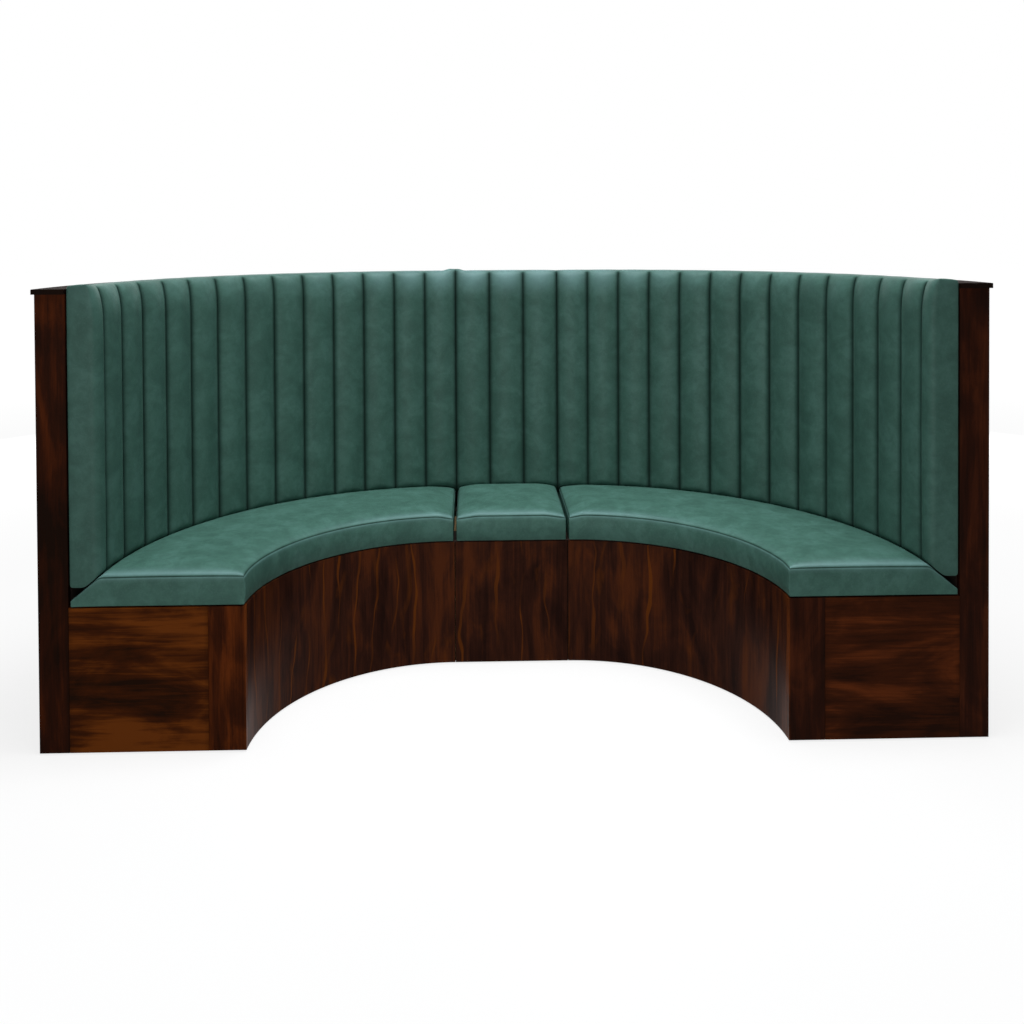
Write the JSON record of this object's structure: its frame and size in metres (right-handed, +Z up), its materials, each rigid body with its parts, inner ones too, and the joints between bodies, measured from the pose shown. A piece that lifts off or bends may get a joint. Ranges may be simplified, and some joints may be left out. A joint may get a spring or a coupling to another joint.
{
  "type": "restaurant booth seating",
  "caption": "Half-round restaurant booth: channelled green upholstered back, lift-out seat pads, bent-plywood walnut base and tall end posts",
  "frame": {"origin": "middle of the floor area that the booth covers, at the underside of the glides", "axes": "+Z up, +Y towards the curved back, the open side with the free ends faces -Y, +X to the right seen from the open side"},
  "size_m": [2.412, 1.042, 1.172],
  "materials": {
    "green_leather": "satin, fine grain, slightly mottled",
    "walnut": "dark walnut veneer, satin lacquer",
    "black_lacquer": "black lacquer",
    "plywood": "bare plywood",
    "pine": "planed softwood",
    "nylon": "moulded",
    "zinc_steel": "zinc plated"
  },
  "bodies": {
    "booth_frame": {"back_board_centre": "plywood", "back_board_left": "plywood", "back_board_right": "plywood", "back_noggings_centre": "plywood", "back_noggings_left": "plywood", "back_noggings_right": "plywood", "back_pad_centre": "green_leather", "back_pad_left": "green_leather", "back_pad_right": "green_leather", "back_pad_screws": "zinc_steel", "back_skin_centre": "walnut", "back_skin_left": "walnut", "back_skin_right": "walnut", "back_studs_centre": "pine", "back_studs_left": "pine", "back_studs_right": "pine", "back_top_plate_centre": "plywood", "back_top_plate_left": "plywood", "back_top_plate_right": "plywood", "base_front_centre": "walnut", "base_front_left": "walnut", "base_front_right": "walnut", "base_plate_centre": "plywood", "base_plate_left": "plywood", "base_plate_right": "plywood", "base_ribs_centre": "plywood", "base_ribs_left": "plywood", "base_ribs_right": "plywood", "end_panel_left": "walnut", "end_panel_right": "walnut", "end_post_left": "walnut", "end_post_right": "walnut", "end_stile_left": "walnut", "end_stile_right": "walnut", "floor_glides": "nylon", "gable_bolts": "zinc_steel", "joint_nuts": "zinc_steel", "seat_rails_centre": "plywood", "seat_rails_left": "plywood", "seat_rails_right": "plywood", "stud_bolts": "zinc_steel", "top_cap_centre": "black_lacquer", "top_cap_left": "black_lacquer", "top_cap_right": "black_lacquer"},
    "seat_left": {"seat_pad_left": "green_leather", "seat_board_left": "plywood"},
    "seat_centre": {"seat_pad_centre": "green_leather", "seat_board_centre": "plywood"},
    "seat_right": {"seat_pad_right": "green_leather", "seat_board_right": "plywood"}
  },
  "joints": [
    {"name": "seat_left_slide", "type": "slide", "parent": "booth_frame", "child": "seat_left", "axis": [0, -1, 0], "range_m": [0, 0.395]},
    {"name": "seat_centre_slide", "type": "slide", "parent": "booth_frame", "child": "seat_centre", "axis": [0, -1, 0], "range_m": [0, 0.09]},
    {"name": "seat_right_slide", "type": "slide", "parent": "booth_frame", "child": "seat_right", "axis": [0, -1, 0], "range_m": [0, 0.395]}
  ]
}
